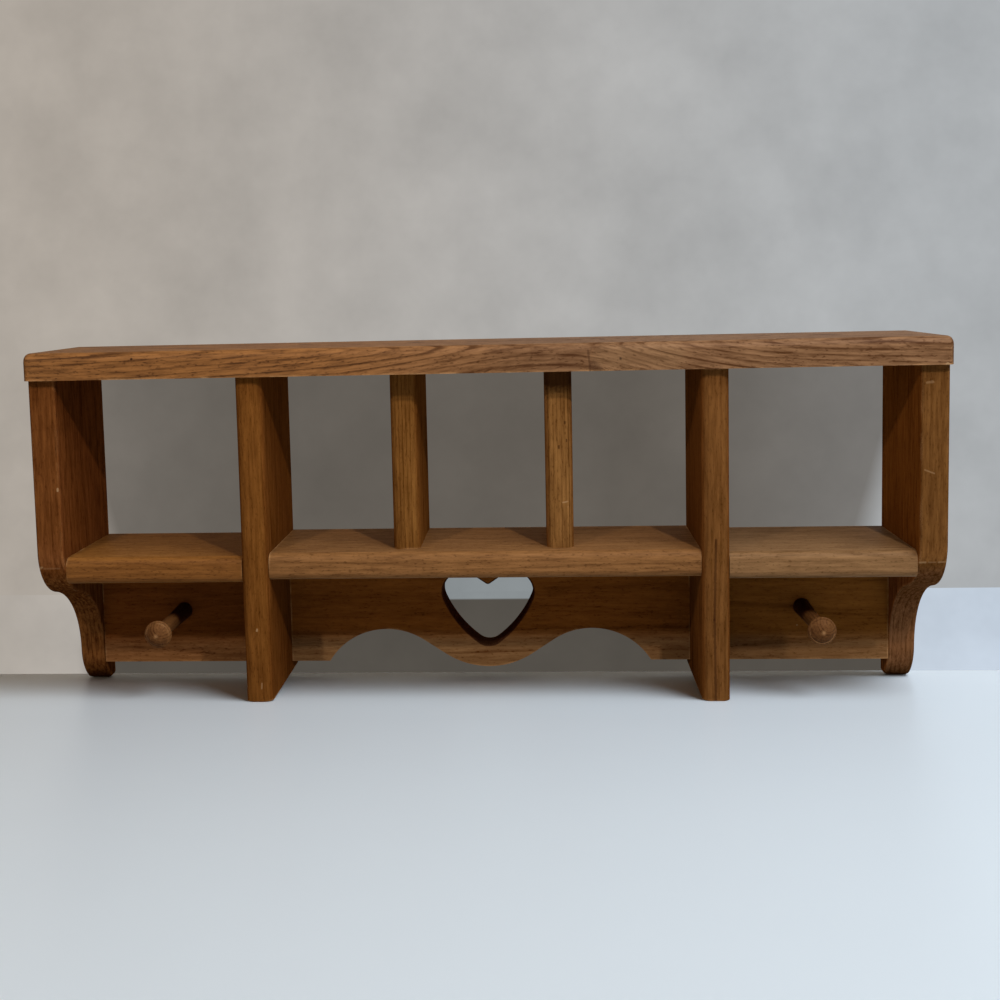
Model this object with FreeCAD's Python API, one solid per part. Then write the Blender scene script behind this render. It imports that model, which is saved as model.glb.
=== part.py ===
import FreeCAD, Part
import math
import os

# Wall curio shelf of stained pine: five small bays under a top board, a scalloped
# rail with a heart cut-out and two turned pegs below. Millimetres, +Z up, the front
# faces -Y, left and right are as seen from the front. The origin is under the middle.

# Boards
board = 19.0             # thickness of every dressed board
upright_depth = 89.0     # end panels and long dividers, back to front
round_over = 6.0         # rounded arrises of shelves, dividers and top board
end_round = 4.0          # tighter round along the top board's ends
arris_ease = 1.5         # light easing of the end panels

# Bays
side_bay = 126.0         # clear width of the left and the right bay
middle_bay = 89.0        # clear width of the bay in the middle
inner_bay = 86.5         # clear width of the two bays beside it
bay_height = 125.0       # center shelf to top board

# Top board
top_overhang = 6.0       # past the fronts of the uprights
top_end_overhang = 1.0   # past the outer faces of the end panels

# Shelves and dividers
shelf_setback = 3.5      # shelf fronts behind the fronts of the uprights
side_shelf_drop = 1.8    # side shelves below the center shelf
short_divider_setback = 16.0
divider_lift = 9.5       # long dividers end this far above the feet

# End panels: a round, a cove and a rounded toe below the straight front
ogee_round = 36.0
ogee_cove = 58.0
foot_depth = 19.5        # where the cove runs into the toe
toe_rise = 26.5          # height of that place, the toe curves back below it
foot_flat = 5.3          # level sole behind the toe
foot_round = 4.0         # lower corners of the feet, as seen from the front

# Rail under the shelves
rail_lift = 16.5         # straight lower edge above the feet
rail_shoulder = 29.0     # straight lower edge beside the scallop
arch_radius = 51.5
arch_rise = 24.4
lobe_drop = 4.6          # middle lobe below the straight lower edge
lobe_radius = 59.0

# Heart cut-out
heart_lobe_radius = 14.8
heart_lobe_offset = 19.0     # lobe centers from the middle
heart_notch_rise = 4.9       # notch above the lobe centers
heart_point_drop = 43.1      # where the sides would meet, below the lobe centers
heart_side_radius = 81.6
heart_tip_radius = 12.0
heart_notch_radius = 2.8
heart_ease = 2.2             # softened front edge
wood_over_heart = 11.3
wood_under_heart = 13.9      # from that meeting point to the lobe's lower edge

# Turned pegs
peg_rise = 39.8          # axis above the rail's straight lower edge
peg_base_diameter = 12.5
peg_neck_diameter = 10.4
peg_neck_at = 48.0       # from the rail to the narrowest place
peg_head_diameter = 19.5
peg_rim_at = 63.0        # from the rail to the widest place
peg_rim_thickness = 3.0
peg_dome = 4.0
peg_tenon_diameter = 9.4
peg_tenon_length = 15.0

# Dowel joints
dowel_diameter = 6.0
dowel_clearance = 0.1    # round every dowel and tenon
dowel_end_gap = 1.0      # glue room past each dowel's end
dowel_in_end = 20.0      # length in a board's end
dowel_in_face = 12.0     # length in a board's face
dowel_inset = 20.0       # from a board's front or back edge
rail_dowel_inset = 16.0  # from the rail's upper and straight lower edge

# Keyhole slots for hanging, in the back edges of the long dividers
keyhole_drop = 45.0      # entry hole below the top board
keyhole_entry_diameter = 9.5
keyhole_neck = 5.0
keyhole_pocket = 10.0    # width behind the lip
keyhole_lip = 4.0
keyhole_depth = 10.0
keyhole_rise = 14.0

# Places worked out from the sizes above
center_half = middle_bay / 2 + board + inner_bay
panel_inner = center_half + board + side_bay
panel_outer = panel_inner + board
rail_height = wood_over_heart + heart_lobe_radius + heart_point_drop + wood_under_heart - lobe_drop
panel_height = rail_lift + rail_height + board + bay_height
top_depth = upright_depth + top_overhang
back = top_depth / 2
upright_front = back - upright_depth
shelf_front = upright_front + shelf_setback
short_front = upright_front + short_divider_setback
rail_front = back - board
shelf_top = panel_height - bay_height
side_shelf_top = shelf_top - side_shelf_drop
dowel_rows = (back - dowel_inset, upright_front + dowel_inset)
short_dowel_rows = (back - dowel_inset, short_front + dowel_inset)
rail_dowel_y = back - board / 2
rail_dowel_heights = (rail_lift + rail_dowel_inset, side_shelf_top - board - rail_dowel_inset)
shelf_dowel_z = shelf_top - side_shelf_drop / 2 - board / 2

across = FreeCAD.Vector(1, 0, 0)
depthwise = FreeCAD.Vector(0, 1, 0)
upward = FreeCAD.Vector(0, 0, 1)


def block(x0, x1, y0, y1, z0, z1):
    return Part.makeBox(x1 - x0, y1 - y0, z1 - z0, FreeCAD.Vector(x0, y0, z0))


def edges_at(shape, **place):
    """Edges whose two ends both lie at the given coordinates."""
    found = []
    for edge in shape.Edges:
        ends = [vertex.Point for vertex in edge.Vertexes]
        if all(abs(getattr(end, axis) - value) < 1e-6 for end in ends for axis, value in place.items()):
            found.append(edge)
    return found


def arc_points(center, radius, first, last):
    """Start, middle and end of an arc in a flat outline, with angles in radians."""
    angles = (first, (first + last) / 2, last)
    return [(center[0] + radius * math.cos(a), center[1] + radius * math.sin(a)) for a in angles]


def outline_wire(pieces, place):
    """Closed wire of lines (two points) and arcs (three points), placed in space."""
    edges = []
    for piece in pieces:
        points = [place(*point) for point in piece]
        if len(points) == 2:
            edges.append(Part.LineSegment(*points).toShape())
        else:
            edges.append(Part.Arc(*points).toShape())
    return Part.Wire(edges)


def dowel(start, direction, length):
    return Part.makeCylinder(dowel_diameter / 2, length, start, direction)


def dowel_hole(start, direction, length):
    """Hole for a dowel that starts at the same place, with glue room at both ends."""
    mouth = start - direction * dowel_end_gap
    radius = dowel_diameter / 2 + dowel_clearance
    return Part.makeCylinder(radius, length + 2 * dowel_end_gap, mouth, direction)


# Dowels of each joint: start, direction and length
def rods_up(xs, rows, joint, below):
    """Upright dowels across a level joint, which reach this far below it."""
    length = dowel_in_end + dowel_in_face
    return [(FreeCAD.Vector(x, y, joint - below), upward, length) for x in xs for y in rows]


def rods_at_panels(places):
    """Dowels that join shelf and rail ends to the faces of the end panels."""
    length = dowel_in_end + dowel_in_face
    rods = []
    for y, z in places:
        rods.append((FreeCAD.Vector(-panel_inner - dowel_in_face, y, z), across, length))
        rods.append((FreeCAD.Vector(panel_inner - dowel_in_end, y, z), across, length))
    return rods


def rods_through_dividers(places):
    """Dowels that pass through the long dividers into the boards on both sides."""
    length = 2 * dowel_in_end + board
    rods = []
    for y, z in places:
        for left_face in (-center_half - board, center_half):
            rods.append((FreeCAD.Vector(left_face - dowel_in_end, y, z), across, length))
    return rods


panel_x = (-panel_outer + board / 2, panel_outer - board / 2)
long_x = (-center_half - board / 2, center_half + board / 2)
short_x = (-(middle_bay + board) / 2, (middle_bay + board) / 2)
shelf_places = [(y, shelf_dowel_z) for y in dowel_rows]
rail_places = [(rail_dowel_y, z) for z in rail_dowel_heights]

dowel_groups = {
    "panel_top_dowels": rods_up(panel_x, dowel_rows, panel_height, dowel_in_end),
    "long_divider_top_dowels": rods_up(long_x, dowel_rows, panel_height, dowel_in_end),
    "short_divider_top_dowels": rods_up(short_x, short_dowel_rows, panel_height, dowel_in_end),
    "short_divider_foot_dowels": rods_up(short_x, short_dowel_rows, shelf_top, dowel_in_face),
    "shelf_end_dowels": rods_at_panels(shelf_places),
    "shelf_through_dowels": rods_through_dividers(shelf_places),
    "rail_end_dowels": rods_at_panels(rail_places),
    "rail_through_dowels": rods_through_dividers(rail_places),
}


def drilled(shape):
    """The board with a hole for each dowel that reaches into it."""
    holes = []
    for rods in dowel_groups.values():
        for rod in rods:
            if shape.BoundBox.intersect(dowel(*rod).BoundBox):
                holes.append(dowel_hole(*rod))
    return shape.cut(holes) if holes else shape


def top_board():
    half = panel_outer + top_end_overhang
    front = back - top_depth
    top = panel_height + board
    shape = block(-half, half, front, back, panel_height, top)
    shape = shape.makeFillet(round_over, edges_at(shape, y=front, z=top))
    # The round at each end runs on over the front and down its corner
    ends = edges_at(shape, x=-half, z=top) + edges_at(shape, x=half, z=top)
    return drilled(shape.makeFillet(end_round, ends))


def end_panel(inner, outer):
    """Sawn side with a straight front that runs through an ogee to a narrow foot."""
    # The round is tangent to the front edge and to the cove, the cove to the toe
    reach = ogee_round + ogee_cove
    shift = (upright_front + ogee_round) - (back - foot_depth - ogee_cove)
    drop = math.sqrt(reach ** 2 - shift ** 2)
    round_center = (upright_front + ogee_round, toe_rise + drop)
    cove_center = (back - foot_depth - ogee_cove, toe_rise)
    turn = math.atan2(drop, shift)
    round_arc = arc_points(round_center, ogee_round, math.pi, math.pi + turn)
    cove_arc = arc_points(cove_center, ogee_cove, turn, 0)
    # The toe runs from there to the front of the sole
    toe_depth = foot_depth - foot_flat
    toe_radius = (toe_depth ** 2 + toe_rise ** 2) / (2 * toe_depth)
    toe_center = (back - foot_depth + toe_radius, toe_rise)
    toe_end = math.atan2(-toe_rise, toe_depth - toe_radius) + 2 * math.pi
    toe_arc = arc_points(toe_center, toe_radius, math.pi, toe_end)
    pieces = [
        [(back, panel_height), (upright_front, panel_height)],
        [(upright_front, panel_height), round_arc[0]],
        round_arc,
        cove_arc,
        toe_arc,
        [toe_arc[2], (back, 0)],
        [(back, 0), (back, panel_height)],
    ]
    left = min(inner, outer)
    wire = outline_wire(pieces, lambda y, z: FreeCAD.Vector(left, y, z))
    shape = Part.Face(wire).extrude(across * board)
    eased = []
    for x in (left, left + board):
        for edge in edges_at(shape, x=x):
            middle = edge.valueAt((edge.FirstParameter + edge.LastParameter) / 2)
            if middle.y < back - 1e-6 and 1e-6 < middle.z < panel_height - 1e-6:
                eased.append(edge)
    bounds = block(left, left + board, upright_front, back, 0, panel_height)
    corners = edges_at(bounds, x=left, z=0) + edges_at(bounds, x=left + board, z=0)
    shape = shape.makeFillet(arris_ease, eased).common(bounds.makeFillet(foot_round, corners))
    return drilled(shape)


def keyhole(x):
    """Slot that takes a screw head at its entry hole and lets it slide up behind the lip."""
    low = panel_height - keyhole_drop
    pocket_radius = keyhole_pocket / 2
    entry_at = FreeCAD.Vector(x, back - keyhole_lip, low)
    pocket_at = FreeCAD.Vector(x, back - keyhole_depth, low)
    pocket_reach = keyhole_depth - keyhole_lip
    entry = Part.makeCylinder(keyhole_entry_diameter / 2, keyhole_lip, entry_at, depthwise)
    pocket_low = Part.makeCylinder(pocket_radius, pocket_reach, pocket_at, depthwise)
    pocket_high = pocket_low.translated(upward * keyhole_rise)
    neck_end = Part.makeCylinder(keyhole_neck / 2, keyhole_lip, entry_at + upward * keyhole_rise, depthwise)
    half_neck = keyhole_neck / 2
    high = low + keyhole_rise
    neck = block(x - half_neck, x + half_neck, back - keyhole_lip, back, low, high)
    pocket_y = back - keyhole_depth
    pocket = block(x - pocket_radius, x + pocket_radius, pocket_y, back - keyhole_lip, low, high)
    return [entry, neck, neck_end, pocket_low, pocket, pocket_high]


def divider(left, front, low):
    """Upright board with both front arrises rounded over."""
    right = left + board
    shape = block(left, right, front, back, low, panel_height)
    return shape.makeFillet(round_over, edges_at(shape, x=left, y=front) + edges_at(shape, x=right, y=front))


def long_divider(left):
    shape = drilled(divider(left, upright_front, divider_lift))
    return shape.cut(keyhole(left + board / 2))


def shelf(left, right, top):
    """Shelf board with a rounded nose."""
    shape = block(left, right, shelf_front, back, top - board, top)
    nose = edges_at(shape, y=shelf_front, z=top) + edges_at(shape, y=shelf_front, z=top - board)
    return drilled(shape.makeFillet(round_over, nose))


def heart_pieces(lobe_height):
    """Outline of the heart: notch, lobes, bowed sides and a rounded tip, left half mirrored."""
    lobe = (heart_lobe_offset, lobe_height)
    notch = (0.0, lobe_height + heart_notch_rise)
    point = (0.0, lobe_height - heart_point_drop)
    # Side arc through the meeting point, with the lobe touching it from inside
    gap = math.dist(lobe, point)
    inner = heart_side_radius - heart_lobe_radius
    along = (inner ** 2 + gap ** 2 - heart_side_radius ** 2) / (2 * gap)
    aside = math.sqrt(inner ** 2 - along ** 2)
    ux, uz = (point[0] - lobe[0]) / gap, (point[1] - lobe[1]) / gap
    side = (lobe[0] + along * ux + aside * uz, lobe[1] + along * uz - aside * ux)
    # Tip arc that touches both side arcs from inside
    tip_reach = heart_side_radius - heart_tip_radius
    tip = (0.0, side[1] - math.sqrt(tip_reach ** 2 - side[0] ** 2))
    # Straight flank from the notch to the lobe, and the small round at the notch
    to_lobe = math.atan2(lobe[1] - notch[1], lobe[0])
    flank = to_lobe + math.asin(heart_lobe_radius / math.dist(lobe, notch))
    bud = (0.0, notch[1] + heart_notch_radius / math.cos(flank))
    side_at_lobe = math.atan2(lobe[1] - side[1], lobe[0] - side[0])
    side_at_tip = math.atan2(tip[1] - side[1], tip[0] - side[0])
    bud_arc = arc_points(bud, heart_notch_radius, -math.pi / 2, flank - math.pi / 2)
    lobe_arc = arc_points(lobe, heart_lobe_radius, flank + math.pi / 2, side_at_lobe)
    side_arc = arc_points(side, heart_side_radius, side_at_lobe, side_at_tip)
    tip_arc = arc_points(tip, heart_tip_radius, side_at_tip, -math.pi / 2)
    half = [bud_arc, [bud_arc[2], lobe_arc[0]], lobe_arc, side_arc, tip_arc]
    mirrored = [[(-x, z) for x, z in reversed(piece)] for piece in reversed(half)]
    return half + mirrored


def heart_rail():
    """Middle rail: two arches and a lobe along the lower edge, and the heart above the lobe."""
    top = shelf_top - board
    half_chord = math.sqrt(arch_radius ** 2 - (arch_radius - arch_rise) ** 2)
    arch_x = center_half - rail_shoulder - half_chord
    arch = (arch_x, rail_lift + arch_rise - arch_radius)
    # A short straight flank is tangent to the arch and to the lobe, which grow no
    # larger than where they would touch
    lobe_low = rail_lift - lobe_drop
    hang = lobe_low - arch[1]
    touching = (arch_x ** 2 + hang ** 2 - arch_radius ** 2) / (2 * (arch_radius - hang))
    lobe_round = min(lobe_radius, 0.99 * touching)
    lobe = (0.0, lobe_low + lobe_round)
    toward = math.atan2(lobe[1] - arch[1], lobe[0] - arch[0])
    meet = toward - math.acos((arch_radius + lobe_round) / math.dist(arch, lobe))
    foot_angle = math.asin((arch_radius - arch_rise) / arch_radius)
    arch_arc = arc_points(arch, arch_radius, foot_angle, meet)
    lobe_arc = arc_points(lobe, lobe_round, meet - math.pi, -math.pi / 2)
    half = [
        [(0.0, top), (center_half, top)],
        [(center_half, top), (center_half, rail_lift)],
        [(center_half, rail_lift), arch_arc[0]],
        arch_arc,
        [arch_arc[2], lobe_arc[0]],
        lobe_arc,
    ]
    mirrored = [[(-x, z) for x, z in reversed(piece)] for piece in reversed(half)]

    def on_front(x, z):
        return FreeCAD.Vector(x, rail_front, z)

    rail = Part.Face(outline_wire(half + mirrored, on_front)).extrude(depthwise * board)
    lobe_height = top - wood_over_heart - heart_lobe_radius
    heart = Part.Face(outline_wire(heart_pieces(lobe_height), on_front)).extrude(depthwise * board)
    rail = rail.cut(heart)
    eased = []
    for edge in edges_at(rail, y=rail_front):
        middle = edge.valueAt((edge.FirstParameter + edge.LastParameter) / 2)
        if abs(middle.x) < heart_lobe_offset + heart_lobe_radius + 1 and middle.z > rail_lift + 1:
            if middle.z < top - 1:
                eased.append(edge)
    return drilled(rail.makeFillet(heart_ease, eased))


def peg_rail(left, right):
    """Plain rail of a side bay, bored for the tenon of its peg."""
    rail = drilled(block(left, right, rail_front, back, rail_lift, side_shelf_top - board))
    seat = FreeCAD.Vector((left + right) / 2, rail_front, rail_lift + peg_rise)
    socket_radius = peg_tenon_diameter / 2 + dowel_clearance
    return rail.cut(Part.makeCylinder(socket_radius, peg_tenon_length + dowel_end_gap, seat, depthwise))


def peg(x):
    """Turned peg: tenon, tapering shank, flared head with a rounded rim and a low dome."""
    base = peg_base_diameter / 2
    neck = peg_neck_diameter / 2
    head = peg_head_diameter / 2
    tenon = peg_tenon_diameter / 2
    rim_back = peg_rim_at - peg_rim_thickness / 2
    rim_front = peg_rim_at + peg_rim_thickness / 2
    rim_inset = peg_rim_thickness / 2
    face_radius = head - rim_inset
    end = rim_front + peg_dome
    # The dome is a cap of a sphere on the peg's axis
    dome_radius = (face_radius ** 2 + peg_dome ** 2) / (2 * peg_dome)
    dome_turn = math.asin(face_radius / dome_radius) / 2
    dome_middle = (end - dome_radius + dome_radius * math.cos(dome_turn), dome_radius * math.sin(dome_turn))

    def at(along, out):
        return FreeCAD.Vector(x + out, rail_front - along, rail_lift + peg_rise)

    def neck_arc(along, out):
        # Leaves the narrowest place parallel to the axis
        run, rise = along - peg_neck_at, out - neck
        radius = (run ** 2 + rise ** 2) / (2 * rise)
        turn = math.asin(run / radius) / 2
        middle = (peg_neck_at + radius * math.sin(turn), neck + radius * (1 - math.cos(turn)))
        return Part.Arc(at(peg_neck_at, neck), at(*middle), at(along, out)).toShape()

    profile = [
        Part.LineSegment(at(-peg_tenon_length, 0), at(-peg_tenon_length, tenon)).toShape(),
        Part.LineSegment(at(-peg_tenon_length, tenon), at(0, tenon)).toShape(),
        Part.LineSegment(at(0, tenon), at(0, base)).toShape(),
        neck_arc(0, base),
        neck_arc(rim_back, face_radius),
        Part.Arc(at(rim_back, face_radius), at(peg_rim_at, head), at(rim_front, face_radius)).toShape(),
        Part.Arc(at(rim_front, face_radius), at(*dome_middle), at(end, 0)).toShape(),
        Part.LineSegment(at(end, 0), at(-peg_tenon_length, 0)).toShape(),
    ]
    face = Part.Face(Part.Wire(profile))
    return face.revolve(at(0, 0), depthwise, 360)


side_bay_left = (-panel_inner, -center_half - board)
side_bay_right = (center_half + board, panel_inner)

nodes = {
    "top_board": top_board(),
    "left_end_panel": end_panel(-panel_inner, -panel_outer),
    "right_end_panel": end_panel(panel_inner, panel_outer),
    "left_long_divider": long_divider(-center_half - board),
    "right_long_divider": long_divider(center_half),
    "left_short_divider": drilled(divider(short_x[0] - board / 2, short_front, shelf_top)),
    "right_short_divider": drilled(divider(short_x[1] - board / 2, short_front, shelf_top)),
    "left_shelf": shelf(*side_bay_left, side_shelf_top),
    "center_shelf": shelf(-center_half, center_half, shelf_top),
    "right_shelf": shelf(*side_bay_right, side_shelf_top),
    "left_peg_rail": peg_rail(*side_bay_left),
    "heart_rail": heart_rail(),
    "right_peg_rail": peg_rail(*side_bay_right),
    "left_peg": peg(sum(side_bay_left) / 2),
    "right_peg": peg(sum(side_bay_right) / 2),
}
for name, rods in dowel_groups.items():
    nodes[name] = Part.makeCompound([dowel(*rod) for rod in rods])

os.makedirs("parts", exist_ok=True)
for name, shape in nodes.items():
    shape.exportStep(f"parts/{name}.step")
    print(f"{name}: {len(shape.Solids)} solid(s), {shape.Volume / 1000:.1f} cm3, valid {shape.isValid()}")
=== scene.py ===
import bpy
import math
from mathutils import Matrix, Vector


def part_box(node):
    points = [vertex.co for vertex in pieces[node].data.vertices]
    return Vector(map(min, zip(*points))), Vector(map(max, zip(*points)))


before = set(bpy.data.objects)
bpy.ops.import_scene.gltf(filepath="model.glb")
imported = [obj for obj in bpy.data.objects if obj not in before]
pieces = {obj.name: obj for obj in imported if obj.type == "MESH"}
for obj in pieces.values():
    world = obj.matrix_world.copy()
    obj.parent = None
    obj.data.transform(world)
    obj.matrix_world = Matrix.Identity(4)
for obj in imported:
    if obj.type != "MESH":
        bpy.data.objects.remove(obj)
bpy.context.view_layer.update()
print("frame loaded with", len(pieces), "pieces")


# Small helpers for building node trees

noiseMiddle = 0.5  # what a noise texture gives on average


def plug(tree, socket, value):
    if isinstance(value, bpy.types.NodeSocket):
        tree.links.new(value, socket)
    else:
        socket.default_value = value


def plugInOrder(tree, sockets, values):
    for socket, value in zip(sockets, values):
        plug(tree, socket, value)


def addNode(tree, kind, inputs=None, **settings):
    node = tree.nodes.new("ShaderNode" + kind)
    for label, value in settings.items():
        setattr(node, label, value)
    for label, value in (inputs or {}).items():
        plug(tree, node.inputs[label], value)
    return node


def maths(tree, operation, *values):
    node = addNode(tree, "Math", operation=operation)
    plugInOrder(tree, node.inputs, values)
    return node.outputs[0]


def unitShare(tree, value):
    return maths(tree, "MINIMUM", maths(tree, "MAXIMUM", value, 0.0), 1.0)


def vectors(tree, operation, *values):
    node = addNode(tree, "VectorMath", operation=operation)
    plugInOrder(tree, node.inputs, values)
    return node.outputs["Value" if operation in ("LENGTH", "DOT_PRODUCT") else "Vector"]


def scaled(tree, vector, share):
    node = addNode(tree, "VectorMath", {"Vector": vector, "Scale": share}, operation="SCALE")
    return node.outputs["Vector"]


def axisOf(tree, vector, axis):
    return addNode(tree, "SeparateXYZ", {"Vector": vector}).outputs[axis]


def ramp(tree, value, low, high, outLow=0.0, outHigh=1.0):
    values = {"Value": value, "From Min": low, "From Max": high, "To Min": outLow, "To Max": outHigh}
    return addNode(tree, "MapRange", values, interpolation_type="SMOOTHSTEP").outputs["Result"]


def blend(tree, share, first, second, mode="MIX"):
    node = addNode(tree, "Mix", data_type="RGBA", blend_type=mode)
    plugInOrder(tree, (node.inputs[0], node.inputs[6], node.inputs[7]), (share, first, second))
    return node.outputs[2]


def opaque(color):
    return (*color, 1.0)


def tinted(tree, color, tint):
    return blend(tree, 1.0, color, opaque(tint), "MULTIPLY")


def grainNoise(tree, point, stretch, detail=2.0, roughness=0.5, output="Fac"):
    stretched = vectors(tree, "MULTIPLY", point, stretch)
    values = {"Vector": stretched, "Scale": 1.0, "Detail": detail, "Roughness": roughness}
    return addNode(tree, "TexNoise", values).outputs[output]


def newGroup(name, inputs, outputs):
    tree = bpy.data.node_groups.new(name, "ShaderNodeTree")
    for way, sockets in (("INPUT", inputs), ("OUTPUT", outputs)):
        for kind, labels in sockets.items():
            for label in labels:
                tree.interface.new_socket(label, in_out=way, socket_type="NodeSocket" + kind)
    return tree, tree.nodes.new("NodeGroupInput").outputs, tree.nodes.new("NodeGroupOutput").inputs


def useGroup(tree, group, inputs):
    node = tree.nodes.new("ShaderNodeGroup")
    node.node_tree = group
    for label, value in inputs.items():
        plug(tree, node.inputs[label], value)
    return node.outputs


# Effects shared by the finishes

grainLook = {
    "sway": {"stretch": (2.4, 13.0, 13.0), "roughness": 0.45},
    "jitter": {"stretch": (8.0, 120.0, 120.0)}, "jitterDepth": 0.7,
    "lineTop": 0.88, "lineFall": (0.9, 1.0), "faintestLine": 0.3,
    "band": {"stretch": (4.0, 34.0, 34.0), "detail": 3.0, "roughness": 0.55},
    "fibre": {"stretch": (48.0, 480.0, 480.0), "detail": 3.0, "roughness": 0.68},
    "pore": {"stretch": (330.0, 1000.0, 1000.0), "detail": 1.0}, "poreFrom": (0.57, 0.74),
}


def acrossGrain(tree, vector):
    # how far a point is from the line along the grain
    return vectors(tree, "LENGTH", vectors(tree, "MULTIPLY", vector, (0.0, 1.0, 1.0)))


def makeBoardGrain():
    # growth rings round a pith line that runs along the board, with fibres and pores
    tree, given, made = newGroup(
        "boardGrain",
        {"Vector": ("Point", "Pith"), "Float": ("Ring Width", "Wander", "Line Start")},
        {"Float": ("Line", "Band", "Fibre", "Pore")})
    point = given["Point"]
    sway = grainNoise(tree, point, **grainLook["sway"], output="Color")
    sway = vectors(tree, "SUBTRACT", sway, [noiseMiddle] * 3)
    fromPith = vectors(tree, "SUBTRACT", point, given["Pith"])
    fromPith = vectors(tree, "ADD", fromPith, scaled(tree, sway, given["Wander"]))
    jitter = maths(tree, "SUBTRACT", grainNoise(tree, point, **grainLook["jitter"]), noiseMiddle)
    rings = maths(tree, "DIVIDE", acrossGrain(tree, fromPith), given["Ring Width"])
    rings = maths(tree, "MULTIPLY_ADD", jitter, grainLook["jitterDepth"], rings)
    part = maths(tree, "FRACT", rings)
    rising = ramp(tree, part, given["Line Start"], grainLook["lineTop"])
    falling = ramp(tree, part, *grainLook["lineFall"], 1.0, 0.0)
    # each ring has a strength of its own
    ringTone = addNode(tree, "TexWhiteNoise", {"W": maths(tree, "FLOOR", rings)}, noise_dimensions="1D")
    faintest = grainLook["faintestLine"]
    strength = maths(tree, "MULTIPLY_ADD", ringTone.outputs["Value"], 1.0 - faintest, faintest)
    line = maths(tree, "MULTIPLY", maths(tree, "MULTIPLY", rising, falling), strength)
    plug(tree, made["Line"], line)
    plug(tree, made["Band"], grainNoise(tree, point, **grainLook["band"]))
    plug(tree, made["Fibre"], grainNoise(tree, point, **grainLook["fibre"]))
    pore = grainNoise(tree, point, **grainLook["pore"])
    plug(tree, made["Pore"], ramp(tree, pore, *grainLook["poreFrom"]))
    return tree


stainLook = {
    "baseShare": 0.32, "roughness": 0.46, "fibreRoughness": 0.16, "endRoughness": 0.12, "poreRoughness": 0.12,
    "lineHeight": 0.35, "poreHeight": -0.7,
}


def makeStainTone():
    # stain over the grain: dark in the lines and on cut ends, uneven over the face
    tree, given, made = newGroup(
        "stainTone",
        {"Float": ("Line", "Band", "Fibre", "Pore", "End",
                   "Line Depth", "Blotch", "Fibre Depth", "Pore Depth", "End Depth"),
         "Color": ("Light", "Dark")},
        {"Color": ("Color",), "Float": ("Roughness", "Height")})
    share = maths(tree, "MULTIPLY_ADD", given["Line"], given["Line Depth"], stainLook["baseShare"])
    for name, depth, middle in (("Band", "Blotch", noiseMiddle), ("Fibre", "Fibre Depth", noiseMiddle),
                                ("Pore", "Pore Depth", 0.0), ("End", "End Depth", 0.0)):
        centred = maths(tree, "SUBTRACT", given[name], middle)
        share = maths(tree, "MULTIPLY_ADD", centred, given[depth], share)
    plug(tree, made["Color"], blend(tree, unitShare(tree, share), given["Light"], given["Dark"]))
    rough = maths(tree, "MULTIPLY_ADD", given["Fibre"], stainLook["fibreRoughness"], stainLook["roughness"])
    rough = maths(tree, "MULTIPLY_ADD", given["End"], stainLook["endRoughness"], rough)
    rough = maths(tree, "MULTIPLY_ADD", given["Pore"], stainLook["poreRoughness"], rough)
    plug(tree, made["Roughness"], rough)
    height = maths(tree, "MULTIPLY_ADD", given["Line"], stainLook["lineHeight"], given["Fibre"])
    height = maths(tree, "MULTIPLY_ADD", given["Pore"], stainLook["poreHeight"], height)
    plug(tree, made["Height"], height)
    return tree


wearLook = {
    "samples": 6, "turnFrom": (0.994, 0.92),
    "patches": {"stretch": (55.0, 55.0, 55.0), "detail": 4.0, "roughness": 0.65}, "patchFrom": (0.42, 0.66),
}


def makeArrisWear():
    # rubbed edges: where the rounded normal leaves the true one, broken up along the edge
    tree, given, made = newGroup(
        "arrisWear", {"Vector": ("Point",), "Float": ("Reach", "Amount")}, {"Float": ("Mask",)})
    rounded = addNode(tree, "Bevel", {"Radius": given["Reach"]}, samples=wearLook["samples"])
    trueNormal = addNode(tree, "NewGeometry").outputs["True Normal"]
    turn = vectors(tree, "DOT_PRODUCT", rounded.outputs[0], trueNormal)
    edge = ramp(tree, turn, *wearLook["turnFrom"])
    patches = ramp(tree, grainNoise(tree, given["Point"], **wearLook["patches"]), *wearLook["patchFrom"])
    mask = maths(tree, "MULTIPLY", edge, patches)
    plug(tree, made["Mask"], maths(tree, "MULTIPLY", mask, given["Amount"]))
    return tree


markLook = {
    "ragged": {"stretch": (420.0, 420.0, 420.0), "detail": 3.0, "roughness": 0.6},
    "raggedDepth": 1.4, "raggedBase": 0.3, "fade": (1.0, 0.35),
    "pale": (0.31, 0.18, 0.085), "dark": (0.03, 0.009, 0.003),
}


def makeScratchMark():
    # one mark along a straight line, ragged at its edge
    tree, given, made = newGroup(
        "scratchMark", {"Vector": ("Point", "Start", "End"), "Float": ("Width",)}, {"Float": ("Mask",)})
    along = vectors(tree, "SUBTRACT", given["End"], given["Start"])
    toPoint = vectors(tree, "SUBTRACT", given["Point"], given["Start"])
    share = maths(tree, "DIVIDE", vectors(tree, "DOT_PRODUCT", toPoint, along),
                  vectors(tree, "DOT_PRODUCT", along, along))
    nearest = scaled(tree, along, unitShare(tree, share))
    away = vectors(tree, "LENGTH", vectors(tree, "SUBTRACT", toPoint, nearest))
    ragged = grainNoise(tree, given["Point"], **markLook["ragged"])
    ragged = maths(tree, "MULTIPLY_ADD", ragged, markLook["raggedDepth"], markLook["raggedBase"])
    near = maths(tree, "DIVIDE", maths(tree, "MULTIPLY", away, ragged), given["Width"])
    plug(tree, made["Mask"], ramp(tree, near, *markLook["fade"]))
    return tree


nickLook = {"dot": (0.075, 0.03)}


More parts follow.
